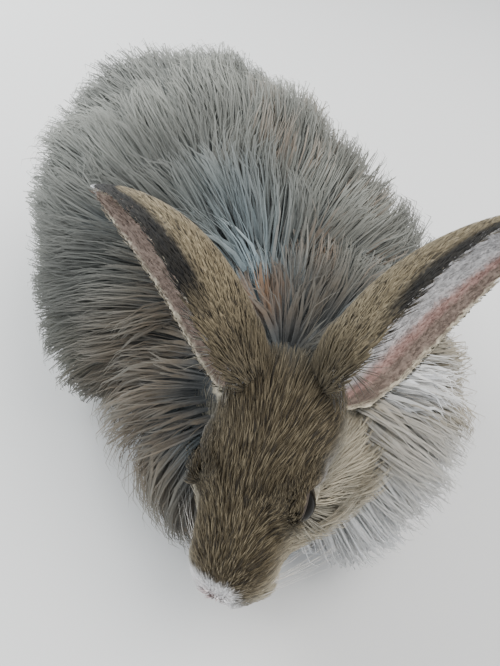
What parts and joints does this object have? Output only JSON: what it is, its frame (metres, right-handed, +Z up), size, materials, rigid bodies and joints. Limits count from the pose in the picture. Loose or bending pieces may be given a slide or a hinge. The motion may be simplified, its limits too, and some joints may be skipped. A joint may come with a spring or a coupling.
{
  "type": "angora rabbit",
  "caption": "Life-size still model of an agouti-grey angora rabbit in full coat, crouching with its head low and turned and its ears spread.",
  "frame": {"origin": "on the floor, below the middle of the whole rabbit", "axes": "+Y from the nose to the tail, +X to the rabbit's own left, +Z up"},
  "size_m": [0.2592, 0.4032, 0.1899],
  "materials": {
    "wool": "long soft grey agouti wool, blue-grey at the roots, pale at the tips",
    "ruff": "long cream and white wool",
    "face": "short ticked brown fur, white on the nose",
    "ear": "short ticked fur outside with a black band, thin pink skin inside",
    "paw": "short pale fur",
    "eye": "wet dark brown"
  },
  "bodies": {
    "root": {"head": "face", "neck": "ruff", "torso": "wool", "tail": "wool", "eye_left": "eye", "eye_right": "eye", "ear_left": "ear", "ear_right": "ear", "foreleg_left": "paw", "foreleg_right": "paw", "hindleg_left": "wool", "hindleg_right": "wool"}
  },
  "joints": []
}
